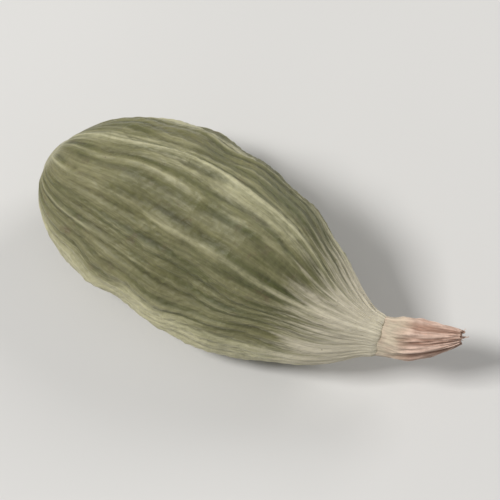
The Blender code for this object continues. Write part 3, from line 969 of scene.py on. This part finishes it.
def husk_material(finish):
    """Dry skin: painted shade in the furrows and folds, olive faces with patches, buff ribs with a painted
    highlight where raised, pale ridges, stains and fibres.
    """
    nodes = Nodes("husk_skin")
    place = nodes.place()
    skin = nodes.attribute("skin", "Vector")
    rib = nodes.attribute("rib")
    raised = nodes.attribute("raised")
    wrinkle = nodes.attribute("wrinkle")
    tone = nodes.attribute("tone")
    along = nodes.attribute("along")
    scar = nodes.attribute("scar")

    # Patterns, most of them drawn out along the pod
    fibre = nodes.noise(nodes.stretch(skin, (1.0, 1.0, 0.06)), 13000.0, 4.0, 0.6)
    streak = nodes.noise(nodes.stretch(skin, (1.0, 1.0, 0.12)), 3600.0, 4.0, 0.6, 0.2)
    patch = nodes.noise(nodes.stretch(skin, (1.0, 1.0, 0.45)), 420.0, 4.0, 0.55)
    fold = nodes.noise(nodes.stretch(skin, (0.40, 0.40, 1.0)), 2200.0, 3.0, 0.55, 1.2)
    crease = nodes.ramp(nodes.math("ABSOLUTE", nodes.math("SUBTRACT", fold, 0.5)), 0.0, 0.20)
    mottle = nodes.noise(place, 1500.0, 5.0, 0.62)
    blot = nodes.noise(nodes.stretch(skin, (1.0, 1.0, 0.55)), 1150.0, 4.0, 0.55, 0.4)
    speck = nodes.cells(place, 3600.0)

    # Olive faces, greener and darker towards the back, partly its own green and partly painted shade of the
    # side turned from the light, with straw-coloured patches and darker blots
    drier = nodes.math("ADD", patch, nodes.ramp(along, 0.10, 0.60, 0.10, -0.06))
    drier = nodes.math("SUBTRACT", drier, nodes.times(nodes.attribute("back"), 0.16))
    colour = nodes.mix(nodes.ramp(drier, 0.36, 0.60), opaque(finish.fresh), opaque(finish.face))
    dry = nodes.times(nodes.ramp(drier, 0.50, 0.68), nodes.ramp(mottle, 0.34, 0.58, 0.35, 1.0))
    colour = nodes.mix(dry, colour, opaque(finish.straw))
    colour = nodes.mix(nodes.ramp(blot, 0.52, 0.66, 0.0, 0.55), colour, opaque(finish.fresh))

    # Painted shade in the furrows, creases and wrinkles; buff ribs, with a painted highlight on raised
    # points
    shade = nodes.times(nodes.ramp(raised, 0.52, 0.22), nodes.ramp(streak, 0.25, 0.60, 0.45, 1.0))
    colour = nodes.mix(nodes.times(shade, 0.52), colour, opaque(finish.furrow_shade))
    # Painted highlight on raised points, in the ribs' own buff
    lit = nodes.times(nodes.ramp(raised, 0.50, 0.86), nodes.ramp(streak, 0.28, 0.60, 0.35, 1.0))
    colour = nodes.mix(nodes.times(lit, 0.65), colour, opaque(finish.crest))
    line = nodes.times(nodes.ramp(rib, 0.16, 0.55), nodes.ramp(streak, 0.30, 0.56, 0.45, 1.0))
    colour = nodes.mix(nodes.times(line, 0.72), colour, opaque(finish.crest))
    # Painted shade in the thin creases and in the cross wrinkles' folds
    creased = nodes.math("SUBTRACT", 0.08, nodes.times(crease, 0.08))
    colour = nodes.mix(creased, colour, opaque(finish.furrow_shade))
    colour = nodes.mix(nodes.ramp(wrinkle, 0.25, 0.90, 0.0, 0.20), colour, opaque(finish.furrow_shade))
    stained = nodes.times(nodes.ramp(mottle, 0.56, 0.72), nodes.ramp(patch, 0.62, 0.40))
    colour = nodes.mix(nodes.times(stained, 0.55), colour, opaque(finish.stain))

    # Cream ridges and neck with frayed edges, and the scar
    frayed = nodes.math("ADD", tone, nodes.ramp(streak, 0.30, 0.70, -0.14, 0.14))
    rims = nodes.times(nodes.ramp(frayed, 0.20, 0.82), nodes.ramp(mottle, 0.30, 0.56, 0.62, 1.0))
    rims = nodes.times(rims, nodes.ramp(raised, 0.05, 0.45, 0.45, 1.0))
    colour = nodes.mix(rims, colour, opaque(finish.ridge))
    fringe = nodes.math("ADD", along, nodes.ramp(streak, 0.30, 0.70, -0.06, 0.06))
    neck = nodes.times(nodes.ramp(fringe, 0.73, 0.93), nodes.ramp(raised, 0.05, 0.50, 0.78, 1.0))
    colour = nodes.mix(neck, colour, opaque(finish.neck))
    base = nodes.times(nodes.ramp(scar, 2.0, 0.9), nodes.ramp(mottle, 0.30, 0.60, 0.35, 0.85))
    colour = nodes.mix(base, colour, opaque(finish.ridge))
    pit = nodes.times(nodes.ramp(scar, 0.70, 0.30), nodes.ramp(mottle, 0.25, 0.55, 0.55, 0.90))
    burnt = nodes.times(nodes.ramp(along, 0.990, 1.0), nodes.ramp(mottle, 0.35, 0.55, 0.0, 0.35))
    colour = nodes.mix(nodes.math("MAXIMUM", pit, burnt), colour, opaque(finish.stain))

    # Specks, and a fine fibre over everything
    dots = nodes.times(nodes.ramp(speck, 0.18, 0.07), nodes.ramp(mottle, 0.48, 0.62))
    colour = nodes.mix(nodes.times(dots, 0.50), colour, opaque(finish.stain))
    colour = nodes.mix(1.0, colour, nodes.ramp(fibre, 0.30, 0.70, 0.84, 1.14), "MULTIPLY")
    nodes.put(nodes.shader.inputs["Base Color"], colour)

    # Satin gloss and small relief
    gloss = nodes.ramp(fibre, 0.25, 0.75, finish.roughness + 0.12, finish.roughness - 0.06)
    nodes.put(nodes.shader.inputs["Roughness"], gloss)
    nodes.shader.inputs["Specular IOR Level"].default_value = 0.45
    nodes.shader.inputs["Sheen Weight"].default_value = 0.08
    nodes.shader.inputs["Sheen Roughness"].default_value = 0.45
    nodes.shader.inputs["Subsurface Weight"].default_value = 0.06
    nodes.shader.inputs["Subsurface Radius"].default_value = (0.9, 0.8, 0.4)
    nodes.shader.inputs["Subsurface Scale"].default_value = 0.3 * MM
    weave = nodes.bump(fibre, 0.030 * MM, 0.9)
    pits = nodes.bump(nodes.noise(place, 6500.0, 5.0, 0.65), 0.030 * MM, 0.8, weave)
    folds = nodes.bump(crease, 0.010 * MM, 0.6, pits)
    nodes.put(nodes.shader.inputs["Normal"], nodes.bump(streak, 0.080 * MM, 0.8, folds))
    return nodes.material


def remnant_material(finish):
    """Withered flower: pinkish buff pleats, painted lighter where raised and with painted shade in brown
    between them, painted shade inside the mouth, and a brownish torn rim.
    """
    nodes = Nodes("withered_flower")
    place = nodes.place()
    skin = nodes.attribute("skin", "Vector")
    pleat = nodes.attribute("pleat")
    inside = nodes.attribute("inside")
    along = nodes.attribute("along")
    fibre = nodes.noise(nodes.stretch(skin, (1.0, 1.0, 0.18)), 9000.0, 5.0, 0.65)
    blotch = nodes.noise(place, 1800.0, 4.0, 0.6)
    # Painted light and shade on the pleats: raised pleats lighter, the grooves between them darker brown
    lit = nodes.times(nodes.ramp(pleat, 0.20, 0.75), nodes.ramp(blotch, 0.30, 0.62, 0.4, 1.0))
    colour = nodes.mix(lit, opaque(finish.deep), opaque(finish.pale))
    joined = nodes.times(nodes.ramp(along, 0.46, 0.10), nodes.ramp(blotch, 0.30, 0.60, 0.6, 0.95))
    colour = nodes.mix(joined, colour, opaque(finish.skirt))
    charred = nodes.times(nodes.ramp(along, 0.90, 1.0), nodes.ramp(blotch, 0.35, 0.60, 0.1, 0.8))
    colour = nodes.mix(nodes.times(charred, 0.25), colour, opaque(finish.mouth))
    # Painted shade inside the mouth, in the torn rim's brown
    colour = nodes.mix(nodes.ramp(inside, 0.25, 0.80), colour, opaque(finish.mouth))
    colour = nodes.mix(1.0, colour, nodes.ramp(fibre, 0.30, 0.70, 0.74, 1.18), "MULTIPLY")
    nodes.put(nodes.shader.inputs["Base Color"], colour)
    nodes.put(nodes.shader.inputs["Roughness"], nodes.ramp(fibre, 0.25, 0.75, 0.85, 0.62))
    nodes.shader.inputs["Specular IOR Level"].default_value = 0.35
    nodes.shader.inputs["Sheen Weight"].default_value = 0.12
    weave = nodes.bump(fibre, 0.040 * MM, 0.8)
    nodes.put(nodes.shader.inputs["Normal"], nodes.bump(blotch, 0.030 * MM, 0.4, weave))
    return nodes.material


def thread_material(root, tip):
    """Dry strands: one colour at the root, another at the tip, with fine blotches."""
    nodes = Nodes("dry_threads")
    blotch = nodes.noise(nodes.place(), 9000.0, 4.0, 0.6)
    colour = nodes.mix(nodes.ramp(nodes.attribute("along"), 0.0, 0.9), opaque(root), opaque(tip))
    colour = nodes.mix(1.0, colour, nodes.ramp(blotch, 0.30, 0.70, 0.70, 1.25), "MULTIPLY")
    nodes.put(nodes.shader.inputs["Base Color"], colour)
    nodes.put(nodes.shader.inputs["Roughness"], nodes.ramp(blotch, 0.30, 0.70, 0.85, 0.60))
    nodes.shader.inputs["Specular IOR Level"].default_value = 0.35
    nodes.put(nodes.shader.inputs["Normal"], nodes.bump(blotch, 0.015 * MM, 0.8))
    return nodes.material


def floor_material(colour):
    """Plain pale matt floor with the faintest unevenness."""
    nodes = Nodes("plain_floor")
    cloud = nodes.ramp(nodes.noise(nodes.place(), 40.0, 2.0), 0.3, 0.7, 0.985, 1.015)
    nodes.put(nodes.shader.inputs["Base Color"], nodes.mix(1.0, opaque(colour), cloud, "MULTIPLY"))
    nodes.shader.inputs["Roughness"].default_value = 0.85
    nodes.shader.inputs["Specular IOR Level"].default_value = 0.2
    return nodes.material


def pointed(item, place, target):
    """Stand a light or camera at this place, looking at the target."""
    item.location = place
    item.rotation_euler = (Vector(target) - Vector(place)).to_track_quat("-Z", "Y").to_euler()


def floor_piece(stage):
    """A flat square just below the flat spot that the pod rests on."""
    half = stage.floor_size
    mesh = bpy.data.meshes.new("floor")
    corners = [(x * half, y * half, FLOOR_AT) for x, y in ((-1, -1), (1, -1), (1, 1), (-1, 1))]
    mesh.from_pydata(corners, [], [(0, 1, 2, 3)])
    mesh.materials.append(floor_material(stage.floor_colour))
    floor = bpy.data.objects.new("floor", mesh)
    bpy.context.scene.collection.objects.link(floor)
    return floor


def hang_lamps(stage, middle, diagonal):
    """Large soft lamps round the pod, all turned to its middle."""
    for name, power, size, place in LAMPS:
        data = bpy.data.lights.new(name, "AREA")
        data.energy = getattr(stage, power)
        data.size = size * diagonal
        lamp = bpy.data.objects.new(name, data)
        bpy.context.scene.collection.objects.link(lamp)
        pointed(lamp, middle + np.array(place) * diagonal, middle)


def soft_sky(strength):
    """Even white light from all round."""
    world = bpy.data.worlds.new("soft_sky")
    world.use_nodes = True
    background = world.node_tree.nodes["Background"]
    background.inputs["Color"].default_value = (1.0, 1.0, 1.0, 1.0)
    background.inputs["Strength"].default_value = strength
    return world


def stand_camera(stage, middle, width):
    """Camera at the stage's azimuth and elevation, so far off that the pod fills its share."""
    data = bpy.data.cameras.new("camera")
    data.lens = stage.lens
    camera = bpy.data.objects.new("camera", data)
    bpy.context.scene.collection.objects.link(camera)
    towards = np.array([
        np.sin(stage.azimuth) * np.cos(stage.elevation),
        -np.cos(stage.azimuth) * np.cos(stage.elevation),
        np.sin(stage.elevation),
    ])
    distance = width * np.cos(stage.azimuth) / stage.frame_share * data.lens / data.sensor_width
    data.clip_start = 0.1 * distance
    data.clip_end = 100.0 * distance
    pointed(camera, middle + towards * distance, middle)
    return camera


class POD_OT_husk(bpy.types.Operator):
    """Build the husk's skin and the broken strands in its stalk scar"""

    bl_idname = "pod.husk"
    bl_label = "Husk"

    def execute(self, context):
        form = context.scene.pod_husk_form
        finish = context.scene.pod_husk_finish
        piece = husk_piece(form)
        piece.data.materials.append(husk_material(finish))
        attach(piece, "root")
        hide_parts("husk")
        strands = scar_threads(form)
        strands.data.materials.append(thread_material(finish.stain, finish.straw))
        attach(strands, "root")
        return {"FINISHED"}


class POD_OT_flower(bpy.types.Operator):
    """Build the withered flower at the end of the beak, with its threads"""

    bl_idname = "pod.flower"
    bl_label = "Withered flower"

    def execute(self, context):
        form = context.scene.pod_remnant_form
        husk = context.scene.pod_husk_form
        finish = context.scene.pod_remnant_finish
        piece = remnant_piece(form, husk)
        piece.data.materials.append(remnant_material(finish))
        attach(piece, "root")
        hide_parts("flower_remnant")
        threads = mouth_threads(form, husk)
        threads.data.materials.append(thread_material(finish.deep, finish.pale))
        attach(threads, "root")
        return {"FINISHED"}


class POD_OT_stage(bpy.types.Operator):
    """Lay the floor, hang the soft lights and stand the camera"""

    bl_idname = "pod.stage"
    bl_label = "Stage"

    def execute(self, context):
        scene = context.scene
        stage = scene.pod_stage
        low, high = (np.array(corner) for corner in CAD_BOX)
        middle = 0.5 * (low + high)
        floor = floor_piece(stage)
        hang_lamps(stage, middle, float(np.linalg.norm(high - low)))
        scene.world = soft_sky(stage.sky)
        scene.view_settings.view_transform = "Standard"
        scene.camera = stand_camera(stage, middle, high[0] - low[0])
        return {"FINISHED"}


class POD_PT_panel(bpy.types.Panel):
    """Settings and steps of the pod"""

    bl_idname = "POD_PT_panel"
    bl_label = "Cardamom pod"
    bl_space_type = "VIEW_3D"
    bl_region_type = "UI"
    bl_category = "Pod"

    def draw(self, context):
        for operator in OPERATORS:
            self.layout.operator(operator.bl_idname)
        for group_name, group in GROUPS.items():
            box = self.layout.box()
            box.label(text=group.__doc__)
            for setting in group.__annotations__:
                box.prop(getattr(context.scene, group_name), setting)


OPERATORS = (POD_OT_husk, POD_OT_flower, POD_OT_stage)
CLASSES = (*GROUPS.values(), *OPERATORS, POD_PT_panel)


def register():
    """Register every class and hang the settings on the scene."""
    for item in CLASSES:
        bpy.utils.register_class(item)
    for group_name, group in GROUPS.items():
        setattr(bpy.types.Scene, group_name, bpy.props.PointerProperty(type=group))


def unregister():
    """Take the settings off the scene and unregister every class."""
    for group_name in GROUPS:
        delattr(bpy.types.Scene, group_name)
    for item in reversed(CLASSES):
        bpy.utils.unregister_class(item)


def main():
    """Register, build every piece and the stage."""
    register()
    bpy.ops.pod.husk()
    bpy.ops.pod.flower()
    bpy.ops.pod.stage()


if __name__ == "__main__":
    main()
